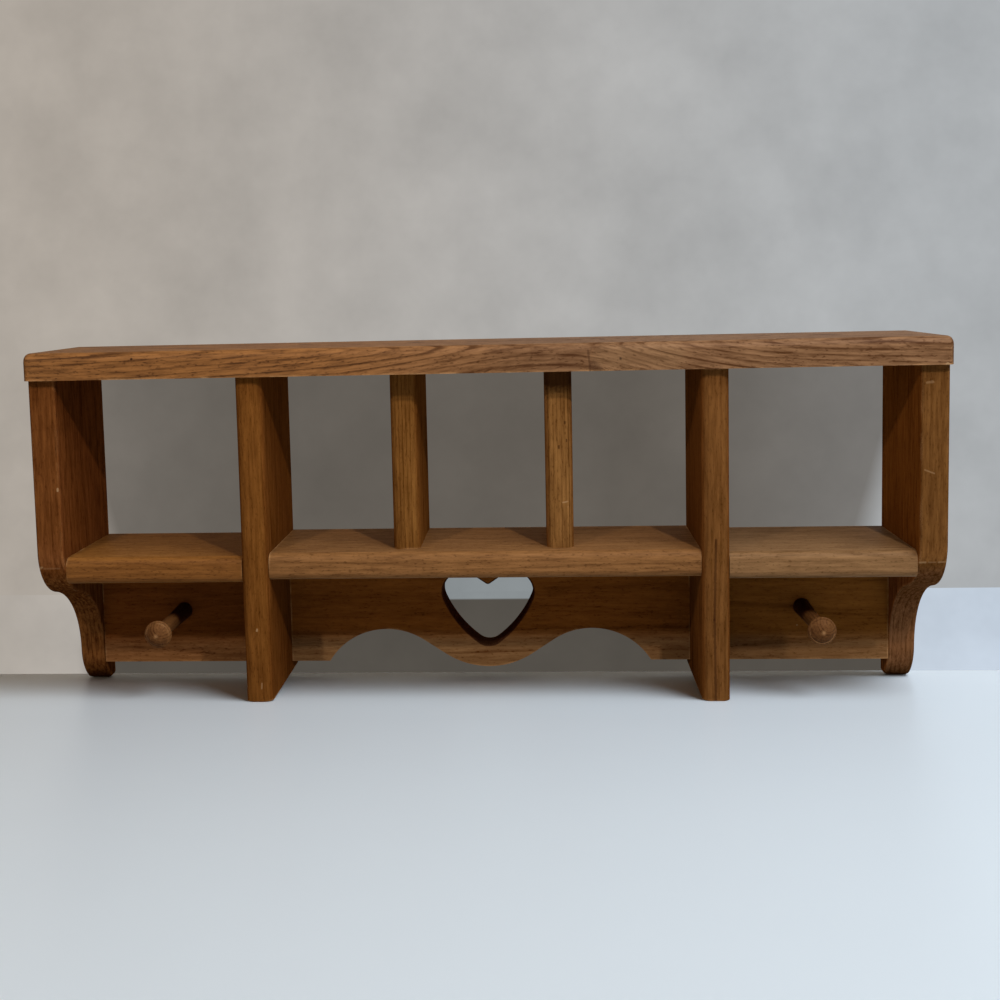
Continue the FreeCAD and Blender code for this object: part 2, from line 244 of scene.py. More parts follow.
def makeNickSpecks():
    # a few tiny nicks, some pale and some dark
    tree, given, made = newGroup(
        "nickSpecks", {"Vector": ("Point",), "Float": ("Spacing", "Share")}, {"Float": ("Pale", "Dark")})
    cells = addNode(tree, "TexVoronoi", {"Vector": given["Point"], "Randomness": 1.0,
                                         "Scale": maths(tree, "DIVIDE", 1.0, given["Spacing"])})
    dot = ramp(tree, cells.outputs["Distance"], *nickLook["dot"])
    pick = addNode(tree, "SeparateColor", {"Color": cells.outputs["Color"]}).outputs
    for label, channel in (("Pale", "Red"), ("Dark", "Green")):
        picked = maths(tree, "LESS_THAN", pick[channel], given["Share"])
        plug(tree, made[label], maths(tree, "MULTIPLY", dot, picked))
    return tree


def makeBranchSwirl():
    # lifts the grain over a branch, steeply on one side and slowly on the other
    tree, given, made = newGroup(
        "branchSwirl", {"Vector": ("Point",), "Float": ("At", "Rise", "Left Reach", "Right Reach")},
        {"Vector": ("Point",)})
    axes = addNode(tree, "SeparateXYZ", {"Vector": given["Point"]}).outputs
    past = maths(tree, "SUBTRACT", axes["X"], given["At"])
    right = maths(tree, "GREATER_THAN", past, 0.0)
    spread = maths(tree, "SUBTRACT", given["Right Reach"], given["Left Reach"])
    reach = maths(tree, "MULTIPLY_ADD", right, spread, given["Left Reach"])
    ratio = maths(tree, "DIVIDE", past, reach)
    fall = maths(tree, "MULTIPLY_ADD", ratio, ratio, 1.0)
    lifted = maths(tree, "SUBTRACT", axes["Z"], maths(tree, "DIVIDE", given["Rise"], fall))
    bent = addNode(tree, "CombineXYZ", {"X": axes["X"], "Y": axes["Y"], "Z": lifted})
    plug(tree, made["Point"], bent.outputs[0])
    return tree


boardGrain = makeBoardGrain()
stainTone = makeStainTone()
arrisWear = makeArrisWear()
scratchMark = makeScratchMark()
nickSpecks = makeNickSpecks()
branchSwirl = makeBranchSwirl()
print("shared effects made")


# The stained pine boards

pine = {
    "sheen": 0.0, "shift": (0.0, 0.0, 0.0), "wander": 0.012,
    "lineStart": 0.5, "lineDepth": 0.55, "blotch": 0.7, "fibreDepth": 1.15, "poreDepth": 0.3,
    "endDepth": 0.45, "endFrom": (0.25, 0.9), "bumpDepth": 0.00012, "bumpStrength": 0.5,
    "worn": (0.36, 0.185, 0.075), "wearAmount": 0.7, "wearReach": 0.0024,
    "paleNick": (0.34, 0.2, 0.1), "darkNick": (0.02, 0.006, 0.002), "nickSpacing": 0.016, "nickShare": 0.05,
    "cutAndShadeColor": (0.026, 0.006, 0.0035), "cutDepth": 0.0, "cutFrom": (0.985, 0.82),
    "paintedLightTone": None, "fadeAxis": "X", "swirl": None, "marks": (),
    "paintedSideTone": None, "tintAxis": "X", "tintSign": 0.0, "tintFrom": (0.5, 0.95),
    "shoulder": None, "shoulderFrom": (0.8, 0.4),
}
grainOrder = {"X": ("X", "Y", "Z"), "Z": ("Z", "X", "Y"), "Y": ("Y", "X", "Z")}


def newFinish(name):
    finish = bpy.data.materials.new(name)
    finish.use_nodes = True
    finish.node_tree.nodes.clear()
    return finish, finish.node_tree


def coat(node, finish):
    mesh = pieces[node].data
    mesh.materials.clear()
    mesh.materials.append(finish)
    for face in mesh.polygons:
        face.material_index = 0


def grainPoint(tree, wood, place):
    # a point measured from the middle of the piece, with the grain along its first axis
    low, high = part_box(wood["node"])
    centred = vectors(tree, "SUBTRACT", place["Object"], (low + high) / 2)
    axes = addNode(tree, "SeparateXYZ", {"Vector": centred}).outputs
    first, second, third = grainOrder[wood["along"]]
    return addNode(tree, "CombineXYZ", {"X": axes[first], "Y": axes[second], "Z": axes[third]}).outputs[0]


def readGrain(tree, wood, shifted):
    return useGroup(tree, boardGrain, {
        "Point": shifted, "Pith": Vector(wood["pith"]) + Vector(wood["shift"]),
        "Ring Width": wood["ringWidth"], "Wander": wood["wander"], "Line Start": wood["lineStart"]})


def cutEnd(tree, wood, place):
    facing = axisOf(tree, place["Normal"], wood["along"])
    return ramp(tree, maths(tree, "ABSOLUTE", facing), *wood["endFrom"])


def stainGrain(tree, wood, grain, line, end, light, dark):
    return useGroup(tree, stainTone, {
        "Line": line, "Band": grain["Band"], "Fibre": grain["Fibre"], "Pore": grain["Pore"], "End": end,
        "Light": light, "Dark": dark, "Line Depth": wood["lineDepth"], "Blotch": wood["blotch"],
        "Fibre Depth": wood["fibreDepth"], "Pore Depth": wood["poreDepth"], "End Depth": wood["endDepth"]})


def paintLightFade(tree, wood, place):
    # painted light and shade: the light tone turns into another towards one end or edge, for the cool light
    # on the top board's right end, the light bounced from the table onto the end panels' lower fronts and the
    # rails' lower strip, and the shelf's shadow higher up the rails
    across = axisOf(tree, place["Object"], wood["fadeAxis"])
    return blend(tree, ramp(tree, across, *wood["fade"]), opaque(wood["light"]), opaque(wood["paintedLightTone"]))


def darkenCuts(tree, wood, place, color):
    # stain gathers on the sawn and softened edges of the rail
    facing = maths(tree, "ABSOLUTE", axisOf(tree, place["Normal"], "Y"))
    cut = ramp(tree, facing, *wood["cutFrom"], 0.0, wood["cutDepth"])
    return blend(tree, cut, color, opaque(wood["cutAndShadeColor"]))


def paintSideLight(tree, wood, place, color):
    # painted light and shade: faces turned along one axis are drawn in another tone, redder and darker on the
    # shaded sides of the uprights and lighter on the left shelf's upper face, on one side alone where a sign
    # is given
    facing = axisOf(tree, place["Normal"], wood["tintAxis"])
    if wood["tintSign"]:
        facing = maths(tree, "MULTIPLY", facing, wood["tintSign"])
    else:
        facing = maths(tree, "ABSOLUTE", facing)
    return blend(tree, ramp(tree, facing, *wood["tintFrom"]), color, tinted(tree, color, wood["paintedSideTone"]))


def paintShoulderLight(tree, wood, place, color):
    # painted light: the front is drawn paler just above the line where its curve begins, so that it stays
    # bright down to that line
    shoulder = wood["shoulder"]
    height = axisOf(tree, place["Object"], "Z")
    litShoulder = maths(tree, "MULTIPLY", ramp(tree, height, *shoulder["litBand"]),
                   ramp(tree, height, *shoulder["line"]))
    facing = maths(tree, "ABSOLUTE", axisOf(tree, place["Normal"], "X"))
    litShoulder = maths(tree, "MULTIPLY", litShoulder, ramp(tree, facing, *wood["shoulderFrom"]))
    return blend(tree, litShoulder, color, tinted(tree, color, shoulder["lift"]))


def wearEdges(tree, wood, place, color):
    wear = useGroup(tree, arrisWear, {
        "Point": place["Object"], "Reach": wood["wearReach"], "Amount": wood["wearAmount"]})
    return blend(tree, wear["Mask"], color, opaque(wood["worn"]))


def nickFaces(tree, wood, shifted, color):
    nicks = useGroup(tree, nickSpecks, {
        "Point": shifted, "Spacing": wood["nickSpacing"], "Share": wood["nickShare"]})
    color = blend(tree, nicks["Dark"], color, opaque(wood["darkNick"]))
    return blend(tree, nicks["Pale"], color, opaque(wood["paleNick"]))


def onFront(wood, across, up, back=0.0):
    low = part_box(wood["node"])[0]
    return (across, low.y + back, up)


def scratchFronts(tree, wood, place, color):
    for scratch in wood["marks"]:
        start, end = onFront(wood, *scratch["start"]), onFront(wood, *scratch["end"])
        made = useGroup(tree, scratchMark, {
            "Point": place["Object"], "Start": start, "End": end, "Width": scratch["width"]})
        mask = maths(tree, "MULTIPLY", made["Mask"], scratch["strength"])
        color = blend(tree, mask, color, opaque(markLook[scratch["kind"]]))
    return color


def showWood(tree, wood, color, roughness, height):
    bump = addNode(tree, "Bump", {
        "Strength": wood["bumpStrength"], "Distance": wood["bumpDepth"], "Height": height})
    surface = addNode(tree, "BsdfPrincipled", {
        "Base Color": color, "Roughness": roughness, "Specular IOR Level": wood["sheen"],
        "Normal": bump.outputs[0]})
    addNode(tree, "OutputMaterial", {"Surface": surface.outputs["BSDF"]})


def finishBoard(board):
    wood = {**pine, **board}
    finish, tree = newFinish(wood["node"] + "_stain")
    place = addNode(tree, "TexCoord").outputs
    point = grainPoint(tree, wood, place)
    if wood["swirl"]:
        point = useGroup(tree, branchSwirl, {"Point": point, **wood["swirl"]})["Point"]
    shifted = vectors(tree, "ADD", point, wood["shift"])
    grain = readGrain(tree, wood, shifted)
    light = paintLightFade(tree, wood, place) if wood["paintedLightTone"] else opaque(wood["light"])
    end = cutEnd(tree, wood, place)
    tone = stainGrain(tree, wood, grain, grain["Line"], end, light, opaque(wood["dark"]))
    color = tone["Color"]
    if wood["cutDepth"]:
        color = darkenCuts(tree, wood, place, color)
    if wood["paintedSideTone"]:
        color = paintSideLight(tree, wood, place, color)
    if wood["shoulder"]:
        color = paintShoulderLight(tree, wood, place, color)
    color = wearEdges(tree, wood, place, color)
    color = nickFaces(tree, wood, shifted, color)
    color = scratchFronts(tree, wood, place, color)
    showWood(tree, wood, color, tone["Roughness"], tone["Height"])
    coat(wood["node"], finish)


# the ends of a mark are given on the front face: across, up and, where it isn't flat, how far back
def mark(kind, start, end, width, strength):
    return {"kind": kind, "start": start, "end": end, "width": width, "strength": strength}


topBoard = {
    "node": "top_board", "along": "X", "light": (0.226, 0.090, 0.0255), "dark": (0.062, 0.022, 0.0062),
    # painted light: the board turns paler and cooler towards its right end, where the cool light falls
    "paintedLightTone": (0.203, 0.100, 0.045), "fade": (-0.15, 0.10), "sheen": 0.06,
    "pith": (0.0, 0.012, -0.075), "shift": (0.41, 0.0, 0.0), "ringWidth": 0.0031, "wander": 0.016,
    "lineDepth": 0.72, "fibreDepth": 2.4, "poreDepth": 0.45,
    "swirl": {"At": 0.06, "Rise": 0.034, "Left Reach": 0.15, "Right Reach": 0.075},
    "marks": (
        mark("dark", (0.0742, 0.2530), (0.0755, 0.2385), 0.0011, 0.5),
        mark("dark", (0.0775, 0.2430), (0.0805, 0.2400), 0.0045, 0.55),
        mark("dark", (0.0150, 0.2485), (0.0640, 0.2485), 0.0130, 0.2),
        mark("pale", (0.0860, 0.2485), (0.1300, 0.2485), 0.0120, 0.12),
        mark("pale", (0.3100, 0.2395), (0.3145, 0.2395, 0.0035), 0.0014, 0.8),
    ),
}
leftEndPanel = {
    "node": "left_end_panel", "along": "Z", "light": (0.142, 0.046, 0.0109), "dark": (0.052, 0.0134, 0.0025),
    # painted light: the lower front below the shoulder is drawn paler, for the light bounced up from the
    # table
    "paintedLightTone": (0.205, 0.076, 0.0195), "fadeAxis": "Z", "fade": (0.1035, 0.094),
    # painted shade: the sides are drawn darker and redder
    "paintedSideTone": (0.92, 0.82, 0.78),
    # painted light: a paler band on the front just above the shoulder line
    "shoulder": {"litBand": (0.135, 0.110), "line": (0.1043, 0.1053), "lift": (1.24, 1.28, 1.5)},
    "pith": (0.0, -0.05, 0.01), "shift": (1.2, 0.0, 0.0), "ringWidth": 0.0031,
    "lineDepth": 0.3, "fibreDepth": 2.2,
    "marks": (
        mark("pale", (-0.3105, 0.1056, 0.0020), (-0.2990, 0.1057, 0.0020), 0.0009, 0.16),
        mark("pale", (-0.3138, 0.1056, 0.0022), (-0.3115, 0.1066, 0.0017), 0.0012, 0.6),
        mark("pale", (-0.2967, 0.1613), (-0.2967, 0.1627), 0.001, 0.9),
    ),
}
rightEndPanel = {
    "node": "right_end_panel", "along": "Z", "light": (0.139, 0.057, 0.0148), "dark": (0.051, 0.0167, 0.0033),
    # painted light: the lower front below the shoulder is drawn paler, for the light bounced up from the
    # table
    "paintedLightTone": (0.186, 0.078, 0.0310), "fadeAxis": "Z", "fade": (0.1035, 0.094),
    # painted light and shade: the inner face is drawn redder
    "paintedSideTone": (1.36, 1.02, 0.64), "tintSign": -1.0,
    # painted light: a paler band on the front just above the shoulder line
    "shoulder": {"litBand": (0.122, 0.108), "line": (0.1043, 0.1053), "lift": (1.36, 1.38, 1.45)},
    "pith": (0.0, 0.045, 0.02), "shift": (2.3, 0.0, 0.0), "ringWidth": 0.0033,
    "lineDepth": 0.3, "fibreDepth": 1.8,
    "marks": (
        mark("pale", (0.2988, 0.2269), (0.3026, 0.2273), 0.0012, 0.28),
        mark("pale", (0.2979, 0.1681), (0.3040, 0.1657), 0.0007, 0.3),
        mark("pale", (0.2958, 0.1044, 0.0024), (0.2995, 0.1047, 0.0023), 0.0011, 0.5),
        mark("pale", (0.3020, 0.1047, 0.0023), (0.3062, 0.1046, 0.0023), 0.0008, 0.26),
        mark("pale", (0.3085, 0.1047, 0.0023), (0.3130, 0.1049, 0.0022), 0.0010, 0.42),
    ),
}
leftLongDivider = {
    "node": "left_long_divider", "along": "Z",
    "light": (0.157, 0.056, 0.0109), "dark": (0.058, 0.017, 0.0024),
    # painted shade: the sides are drawn darker and redder
    "paintedSideTone": (0.9, 0.8, 0.78), "pith": (0.0, 0.06, -0.02), "shift": (3.1, 0.0, 0.0),
    "ringWidth": 0.0029, "lineDepth": 0.3, "fibreDepth": 1.7,
    "marks": (
        mark("pale", (-0.1592, 0.0604), (-0.1591, 0.0616), 0.0008, 0.7),
        mark("pale", (-0.1573, 0.0190), (-0.1570, 0.0228), 0.0007, 0.5),
    ),
}
rightLongDivider = {
    "node": "right_long_divider", "along": "Z",
    "light": (0.149, 0.059, 0.0155), "dark": (0.053, 0.0172, 0.0032),
    # painted shade: the sides are drawn redder
    "paintedSideTone": (1.02, 0.84, 0.66), "pith": (0.0, -0.055, 0.015), "shift": (4.7, 0.0, 0.0),
    "ringWidth": 0.0028, "lineDepth": 0.35, "fibreDepth": 1.7,
    "marks": (
        mark("dark", (0.1592, 0.1219), (0.1580, 0.0664), 0.0013, 0.65),
        mark("dark", (0.1580, 0.0664), (0.1587, 0.0102), 0.0013, 0.65),
    ),
}
leftShortDivider = {
    "node": "left_short_divider", "along": "Z",
    "light": (0.18, 0.0726, 0.016), "dark": (0.06, 0.019, 0.003),
    # painted shade: the sides are drawn redder
    "paintedSideTone": (1.0, 0.88, 0.8), "pith": (0.0, -0.09, 0.01), "shift": (5.9, 0.0, 0.0),
    "ringWidth": 0.0023, "wander": 0.006, "fibreDepth": 1.7,
}
rightShortDivider = {
    "node": "right_short_divider", "along": "Z",
    "light": (0.224, 0.1, 0.0276), "dark": (0.071, 0.0247, 0.005),
    # painted shade: the sides are drawn redder
    "paintedSideTone": (1.0, 0.88, 0.8), "pith": (0.0, 0.08, 0.01), "shift": (6.4, 0.0, 0.0),
    "ringWidth": 0.0023, "wander": 0.006, "fibreDepth": 1.7,
    "marks": (
        mark("pale", (0.0562, 0.1460), (0.0632, 0.1473), 0.0007, 0.6),
        mark("pale", (0.0596, 0.1428), (0.0638, 0.1452, 0.0005), 0.0007, 0.5),
        mark("dark", (0.0539, 0.1843), (0.0539, 0.1857), 0.001, 0.7),
        mark("dark", (0.0595, 0.1889), (0.0595, 0.1901), 0.0009, 0.7),
        mark("dark", (0.0583, 0.2015), (0.0583, 0.2025), 0.0009, 0.7),
        # painted shadow: a dark band across the top of the front, under the top board
        mark("dark", (0.0460, 0.2330), (0.0620, 0.2330), 0.0115, 0.85),
    ),
}
leftShelf = {
    "node": "left_shelf", "along": "X", "light": (0.176, 0.066, 0.0146), "dark": (0.072, 0.0234, 0.0044),
    # painted light: the upper face is drawn lighter
    "sheen": 0.05, "paintedSideTone": (1.2, 1.23, 1.14), "tintAxis": "Z", "pith": (0.0, -0.02, -0.07),
    "shift": (7.7, 0.0, 0.0), "ringWidth": 0.0034, "lineDepth": 0.3, "fibreDepth": 2.0, "poreDepth": 0.45,
}
centerShelf = {
    "node": "center_shelf", "along": "X", "light": (0.214, 0.0935, 0.0298), "dark": (0.087, 0.0335, 0.0089),
    "sheen": 0.05, "pith": (0.0, 0.02, -0.065),
    "shift": (8.3, 0.0, 0.0), "ringWidth": 0.0035, "lineDepth": 0.3, "fibreDepth": 2.0, "poreDepth": 0.45,
}
rightShelf = {
    "node": "right_shelf", "along": "X", "light": (0.210, 0.107, 0.0435), "dark": (0.096, 0.044, 0.0148),
    "sheen": 0.05, "pith": (0.0, 0.01, -0.08),
    "shift": (9.6, 0.0, 0.0), "ringWidth": 0.0033, "lineDepth": 0.3, "fibreDepth": 2.0, "poreDepth": 0.45,
}
leftPegRail = {
    "node": "left_peg_rail", "along": "X", "light": (0.185, 0.055, 0.0107), "dark": (0.054, 0.012, 0.0015),
    # painted light and shade: a shaded tone under the shelf and a lit, cooler tone along the rail's foot
    "paintedLightTone": (0.287, 0.1235, 0.0432), "fadeAxis": "Z", "fade": (0.040, 0.027), "cutDepth": 0.85,
    "pith": (0.0, 0.07, -0.01), "shift": (10.4, 0.0, 0.0), "ringWidth": 0.0038, "lineDepth": 0.3,
}
heartRail = {
    "node": "heart_rail", "along": "X", "light": (0.215, 0.070, 0.0122), "dark": (0.063, 0.016, 0.0019),
    # painted light and shade: a shaded tone under the shelf and a lit, cooler tone along the rail's foot
    "paintedLightTone": (0.2417, 0.1245, 0.05), "fadeAxis": "Z", "fade": (0.042, 0.029), "cutDepth": 0.85,
    "pith": (0.0, 0.06, 0.012), "shift": (11.8, 0.0, 0.0), "ringWidth": 0.0041, "lineDepth": 0.3,
}
rightPegRail = {
    "node": "right_peg_rail", "along": "X", "light": (0.213, 0.078, 0.014), "dark": (0.0624, 0.018, 0.0022),
    # painted light and shade: a shaded tone under the shelf and a lit, cooler tone along the rail's foot
    "paintedLightTone": (0.2108, 0.1042, 0.0406), "fadeAxis": "Z", "fade": (0.040, 0.027), "cutDepth": 0.85,
    "pith": (0.0, 0.065, -0.015), "shift": (12.5, 0.0, 0.0), "ringWidth": 0.0038, "lineDepth": 0.3,
}
for board in (topBoard, leftEndPanel, rightEndPanel, leftLongDivider, rightLongDivider, leftShortDivider,
              rightShortDivider, leftShelf, centerShelf, rightShelf, leftPegRail, heartRail, rightPegRail):
    finishBoard(board)
print("boards stained")


# The turned pegs

pegs = {
    "light": (0.150, 0.061, 0.019), "dark": (0.050, 0.0165, 0.0042), "sheen": 0.03, "along": "Y",
    "pith": (0.0, 0.004, 0.006), "ringWidth": 0.0022, "wander": 0.004, "lineDepth": 0.45,
    "endDepth": 0.15, "endFrom": (0.4, 0.95), "bumpDepth": 0.00015, "bumpStrength": 0.6,
    "turningPitch": 0.00085, "turningDepth": 0.35, "wearReach": 0.0016,
    # painted shade on the shank behind the head, and a pale centre dot that is partly a painted highlight
    "centerDot": 0.0024, "dotStrength": 0.45, "headBack": (-0.0060, 0.0010), "shankShade": 0.85,
}
leftPeg = {"node": "left_peg", "shift": (13.3, 0.0, 0.0), "tone": 1.03}
rightPeg = {"node": "right_peg", "shift": (15.0, 0.0, 0.0), "tone": 0.86}


def finishPeg(peg):
    wood = {**pine, **pegs, **peg}
    finish, tree = newFinish(wood["node"] + "_stain")
    place = addNode(tree, "TexCoord").outputs
    point = grainPoint(tree, wood, place)
    grain = readGrain(tree, wood, vectors(tree, "ADD", point, wood["shift"]))
    # tool lines left by the lathe run round the axis
    radius = acrossGrain(tree, point)
    axis = axisOf(tree, point, "X")
    turns = maths(tree, "DIVIDE", maths(tree, "ADD", radius, axis), wood["turningPitch"])
    turned = addNode(tree, "TexNoise", {"W": turns, "Scale": 1.0, "Detail": 1.0}, noise_dimensions="1D")
    turned = turned.outputs["Fac"]
    line = maths(tree, "MULTIPLY_ADD", maths(tree, "SUBTRACT", turned, noiseMiddle),
                 wood["turningDepth"], grain["Line"])
    end = cutEnd(tree, wood, place)
    light, dark = Vector(wood["light"]) * wood["tone"], Vector(wood["dark"]) * wood["tone"]
    tone = stainGrain(tree, wood, grain, line, end, opaque(light), opaque(dark))
    color = wearEdges(tree, wood, place, tone["Color"])
    # painted shade: the shank is drawn dark behind the head, where the shelf's shadow falls; the head has a
    # pale dot where the lathe held it, partly a painted highlight
    shank = ramp(tree, axis, *wood["headBack"], 0.0, wood["shankShade"])
    color = blend(tree, shank, color, opaque(wood["cutAndShadeColor"]))
    dot = ramp(tree, radius, wood["centerDot"], 0.0, 0.0, wood["dotStrength"])
    color = blend(tree, maths(tree, "MULTIPLY", dot, end), color, opaque(wood["worn"]))
    showWood(tree, wood, color, tone["Roughness"], maths(tree, "ADD", tone["Height"], turned))
    coat(wood["node"], finish)


for peg in (leftPeg, rightPeg):
    finishPeg(peg)
print("pegs stained")


# The bare dowels

dowels = {
    "light": (0.62, 0.43, 0.24), "dark": (0.4, 0.25, 0.12), "ringWidth": 0.0018, "lineDepth": 0.4,
    "wearAmount": 0.0, "nickShare": 0.0, "pith": (0.0, 0.01, 0.02), "wander": 0.004,
}
dowelsAlong = {
    "Z": ("panel_top_dowels", "long_divider_top_dowels",
          "short_divider_top_dowels", "short_divider_foot_dowels"),
    "X": ("shelf_end_dowels", "shelf_through_dowels", "rail_end_dowels", "rail_through_dowels"),
}
for along, nodes in dowelsAlong.items():
    for node in nodes:
        finishBoard({**dowels, "node": node, "along": along})
print("dowels finished")


# Stage: table, low ledge and wall, light and camera

stage = {
    "soleFront": 0.0422, "frontFoot": "left_long_divider", "reach": 3.0, "toneReach": (-0.45, 0.45),
    "patches": {"stretch": (3.0, 3.0, 3.0), "detail": 4.0, "roughness": 0.6},
    "patchTint": (0.93, 0.93, 0.93), "patchRoughness": 0.08,
}
# the table's left and right tones are painted light, warm on the left and cool on the right
table = {"left": (0.90, 0.87, 0.83), "right": (0.86, 0.87, 0.87), "roughness": 0.34, "drop": 0.0002}
room = {
    "left": (0.26, 0.235, 0.20), "right": (0.26, 0.235, 0.20), "roughness": 0.8, "gap": 0.42, "height": 3.0,
}
backdrop = {
    "patches": {"stretch": (14.0, 14.0, 14.0), "detail": 4.0, "roughness": 0.6},
    "glowDepth": 0.4, "glowBase": 0.8,
    # painted light: a bright band on the ledge and wall, seen through the heart
    "gapLight": (0.243, 0.266, 0.275), "gapFrom": (0.0540, 0.0556), "gapTo": (0.095, 0.085),
    "gapSide": (0.15, 0.14),
}
# painted shade: the ledge and the wall are drawn in their shade colour behind the shelf, and from warm on the
# left to cool on the right as painted light
ledge = {
    "left": (0.43, 0.39, 0.345), "right": (0.56, 0.64, 0.74), "shade": (0.085, 0.076, 0.064),
    "shadeMiddle": -0.003, "shadeSide": (0.299, 0.327),
    "gap": 0.0125, "turn": 0.22, "height": 0.0624, "depth": 0.012,
}
wall = {
    "left": (0.415, 0.372, 0.325), "right": (0.415, 0.435, 0.45), "shade": (0.123, 0.109, 0.093),
    "shadeMiddle": -0.008, "shadeSide": (0.312, 0.358), "height": 3.0,
    "soft": {"top": (0.228, 0.250), "spreadFrom": 0.22, "spread": 0.3,
             "leakMiddle": -0.03, "leakSide": (0.14, 0.34), "leak": 0.2},
}


# painted light: a sheet turns from warm on the left to cool on the right, as the light falling on it does
def paintedLightAcross(tree, sheet, across):
    return blend(tree, ramp(tree, across, *stage["toneReach"]), opaque(sheet["left"]), opaque(sheet["right"]))


def awayFrom(tree, across, middle):
    return maths(tree, "ABSOLUTE", maths(tree, "SUBTRACT", across, middle))


def showWhere(tree, shader, hidden):
    clear = addNode(tree, "BsdfTransparent")
    mixed = addNode(tree, "MixShader")
    plugInOrder(tree, mixed.inputs, (hidden, shader, clear.outputs["BSDF"]))
    addNode(tree, "OutputMaterial", {"Surface": mixed.outputs[0]})


def stageFinish(name, sheet):
    # plain, with a faint unevenness, and clear from behind so that every side can be seen
    finish, tree = newFinish(name)
    place = addNode(tree, "TexCoord").outputs["Object"]
    color = paintedLightAcross(tree, sheet, axisOf(tree, place, "X"))
    patches = grainNoise(tree, place, **stage["patches"])
    rough = maths(tree, "MULTIPLY_ADD", patches, stage["patchRoughness"], sheet["roughness"])
    color = blend(tree, patches, color, tinted(tree, color, stage["patchTint"]))
    surface = addNode(tree, "BsdfPrincipled", {"Base Color": color, "Roughness": rough})
    showWhere(tree, surface.outputs["BSDF"], addNode(tree, "NewGeometry").outputs["Backfacing"])
    return finish


def softShade(tree, soft, axes, aside):
    # the wall's painted shade widens downwards, and painted light gets in over its top and from both sides
    under = maths(tree, "MAXIMUM", maths(tree, "SUBTRACT", soft["spreadFrom"], axes["Z"]), 0.0)
    aside = maths(tree, "MULTIPLY_ADD", under, soft["spread"], aside)
    inside = awayFrom(tree, axes["X"], soft["leakMiddle"])
    leak = ramp(tree, inside, *soft["leakSide"], 0.0, soft["leak"])
    return aside, maths(tree, "MAXIMUM", ramp(tree, axes["Z"], *soft["top"]), leak)


def paintedGapLight(tree, axes):
    # a painted patch of light from above, where it falls through the gap behind the shelf, seen in the heart
    glow = maths(tree, "MULTIPLY", ramp(tree, axes["Z"], *backdrop["gapFrom"]),
                 ramp(tree, axes["Z"], *backdrop["gapTo"]))
    side = ramp(tree, maths(tree, "ABSOLUTE", axes["X"]), *backdrop["gapSide"])
    return maths(tree, "MULTIPLY", glow, side)


def backdropFinish(name, sheet):
    # a backdrop for the picture alone, lit only by its own glow, with painted shade where the shelf stands
    # close in front of it
    finish, tree = newFinish(name)
    place = addNode(tree, "TexCoord").outputs["Object"]
    axes = addNode(tree, "SeparateXYZ", {"Vector": place}).outputs
    aside, lit = awayFrom(tree, axes["X"], sheet["shadeMiddle"]), 0.0
    if "soft" in sheet:
        aside, lit = softShade(tree, sheet["soft"], axes, aside)
    lit = maths(tree, "MAXIMUM", ramp(tree, aside, *sheet["shadeSide"]), lit)
    color = blend(tree, lit, opaque(sheet["shade"]), paintedLightAcross(tree, sheet, axes["X"]))
    color = blend(tree, paintedGapLight(tree, axes), color, opaque(backdrop["gapLight"]))
    patches = grainNoise(tree, place, **backdrop["patches"])
    strength = maths(tree, "MULTIPLY_ADD", patches, backdrop["glowDepth"], backdrop["glowBase"])
    glow = addNode(tree, "Emission", {"Color": color, "Strength": strength})
    path = addNode(tree, "LightPath").outputs
    seen = maths(tree, "MAXIMUM", path["Is Camera Ray"], path["Is Glossy Ray"])
    seen = maths(tree, "MAXIMUM", seen, path["Is Transmission Ray"])
    behind = addNode(tree, "NewGeometry").outputs["Backfacing"]
    hidden = maths(tree, "MAXIMUM", behind, maths(tree, "SUBTRACT", 1.0, seen))
    showWhere(tree, glow.outputs[0], hidden)
    return finish


def stageSheet(name, corners, finish):
    mesh = bpy.data.meshes.new(name)
    mesh.from_pydata(corners, [], [range(len(corners))])
    sheet = bpy.data.objects.new(name, mesh)
    mesh.materials.append(finish)
    bpy.context.scene.collection.objects.link(sheet)
    return sheet


def makeStage():
    # the table touches the soles of the end panels and the lower fronts of the long dividers
    sole = Vector((0.0, stage["soleFront"], 0.0))
    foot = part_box(stage["frontFoot"])[0]
    away = (sole - Vector((0.0, foot.y, foot.z))).normalized()
    right = Vector((1, 0, 0))
    up = right.cross(away)
    turn = Matrix.Rotation(math.radians(ledge["turn"]), 3, up)
    along, behind = turn @ right * stage["reach"], turn @ away

    def strip(name, first, second, finish):
        return stageSheet(name, [first - along, first + along, second + along, second - along], finish)

    floor = sole - up * table["drop"]
    nearEdge, farEdge = floor - away * stage["reach"], floor + away * stage["reach"]
    softLit = strip("stage_table", nearEdge, farEdge, stageFinish("table_white", table))
    ledgeFoot = sole + behind * ledge["gap"]
    wallFoot = ledgeFoot + behind * ledge["depth"]
    roomFoot = sole + behind * room["gap"]
    strip("stage_ledge", ledgeFoot, ledgeFoot + up * ledge["height"], backdropFinish("ledge_white", ledge))
    strip("stage_wall", wallFoot, wallFoot + up * wall["height"], backdropFinish("wall_paint", wall))
    strip("stage_room", roomFoot, roomFoot + up * room["height"], stageFinish("room_paint", room))
    return softLit


lights = {
    "target": (0.0, 0.0, 0.13),
    "right": {"place": (0.40, -0.78, 0.90), "size": 0.045, "power": 6.1, "color": (1.0, 0.98, 0.955)},
    "left": {"place": (-0.43, -0.80, 0.80), "size": 0.045, "power": 3.6, "color": (1.0, 0.975, 0.94)},
    "window": {"place": (0.95, -0.55, 1.6), "size": 1.2, "power": 38.0, "color": (0.74, 0.87, 1.0)},
}
sky = {"color": (1.0, 0.80, 0.60), "strength": 0.16}


def leaveOut(name, spared):
    outside = bpy.data.collections.new(name)
    for item in spared:
        outside.objects.link(item)
    for link in outside.collection_objects:
        link.light_linking.link_state = "EXCLUDE"
    return outside


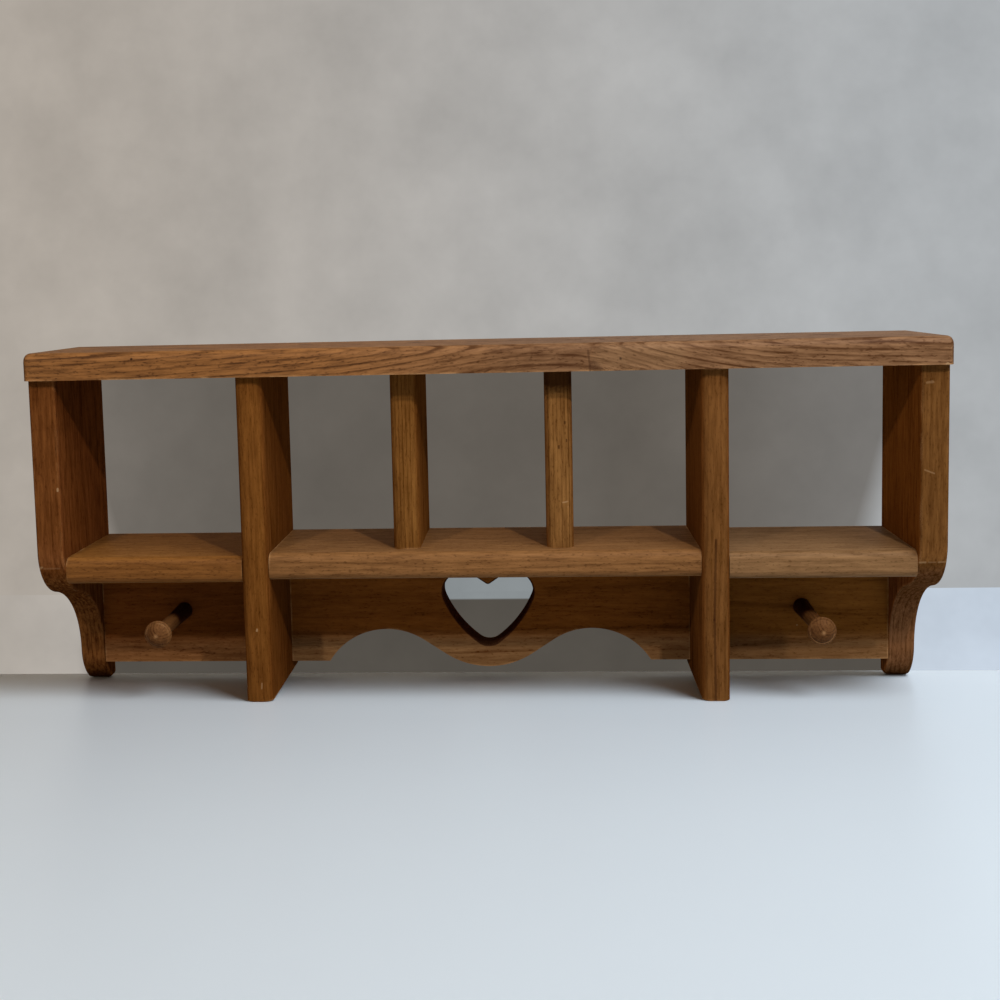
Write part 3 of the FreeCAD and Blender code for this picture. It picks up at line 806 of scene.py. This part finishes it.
def aimLight(name, softLit=None):
    lamp = bpy.data.lights.new(name + "_light", "AREA")
    lamp.shape, lamp.size = "DISK", lights[name]["size"]
    lamp.energy, lamp.color = lights[name]["power"], lights[name]["color"]
    holder = bpy.data.objects.new(name + "_light", lamp)
    bpy.context.scene.collection.objects.link(holder)
    holder.location = lights[name]["place"]
    holder.visible_camera = False
    toTarget = Vector(lights["target"]) - holder.location
    holder.rotation_euler = toTarget.to_track_quat("-Z", "Y").to_euler()
    if softLit:
        # this lamp leaves the softly lit sheet out, and the pegs throw no hard shadow from it
        passed = [pieces[peg["node"]] for peg in (leftPeg, rightPeg)]
        holder.light_linking.receiver_collection = leaveOut(name + "_spares", [softLit])
        holder.light_linking.blocker_collection = leaveOut(name + "_passes", passed)


def makeLights(softLit):
    aimLight("right", softLit)
    aimLight("left", softLit)
    aimLight("window")
    world = bpy.data.worlds.new("soft_room")
    bpy.context.scene.world = world
    world.use_nodes = True
    tree = world.node_tree
    tree.nodes.clear()
    glow = addNode(tree, "Background", {"Color": opaque(sky["color"]), "Strength": sky["strength"]})
    addNode(tree, "OutputWorld", {"Surface": glow.outputs[0]})


shot = {
    "place": (0.04131, -0.84530, 0.29652), "yaw": -0.0599, "pitch": -0.08513, "roll": -0.02261,
    "sensor": 36.0, "lens": 42.745, "shift": (0.0314, -0.1109),
}


def makeCamera():
    yaw, pitch, roll = shot["yaw"], shot["pitch"], shot["roll"]
    ahead = Vector((math.sin(yaw) * math.cos(pitch), math.cos(yaw) * math.cos(pitch), math.sin(pitch)))
    level = Vector((math.cos(yaw), -math.sin(yaw), 0.0))
    upright = level.cross(ahead)
    right = level * math.cos(roll) + upright * math.sin(roll)
    up = upright * math.cos(roll) - level * math.sin(roll)
    data = bpy.data.cameras.new("photo_camera")
    data.sensor_fit, data.sensor_width, data.lens = "HORIZONTAL", shot["sensor"], shot["lens"]
    data.shift_x, data.shift_y = shot["shift"]
    camera = bpy.data.objects.new("photo_camera", data)
    bpy.context.scene.collection.objects.link(camera)
    turn = Matrix((right, up, -ahead)).transposed().to_4x4()
    camera.matrix_world = Matrix.Translation(Vector(shot["place"])) @ turn
    bpy.context.scene.camera = camera


makeLights(makeStage())
makeCamera()
bpy.context.scene.view_settings.view_transform = "Standard"
print("stage, lights and camera set")
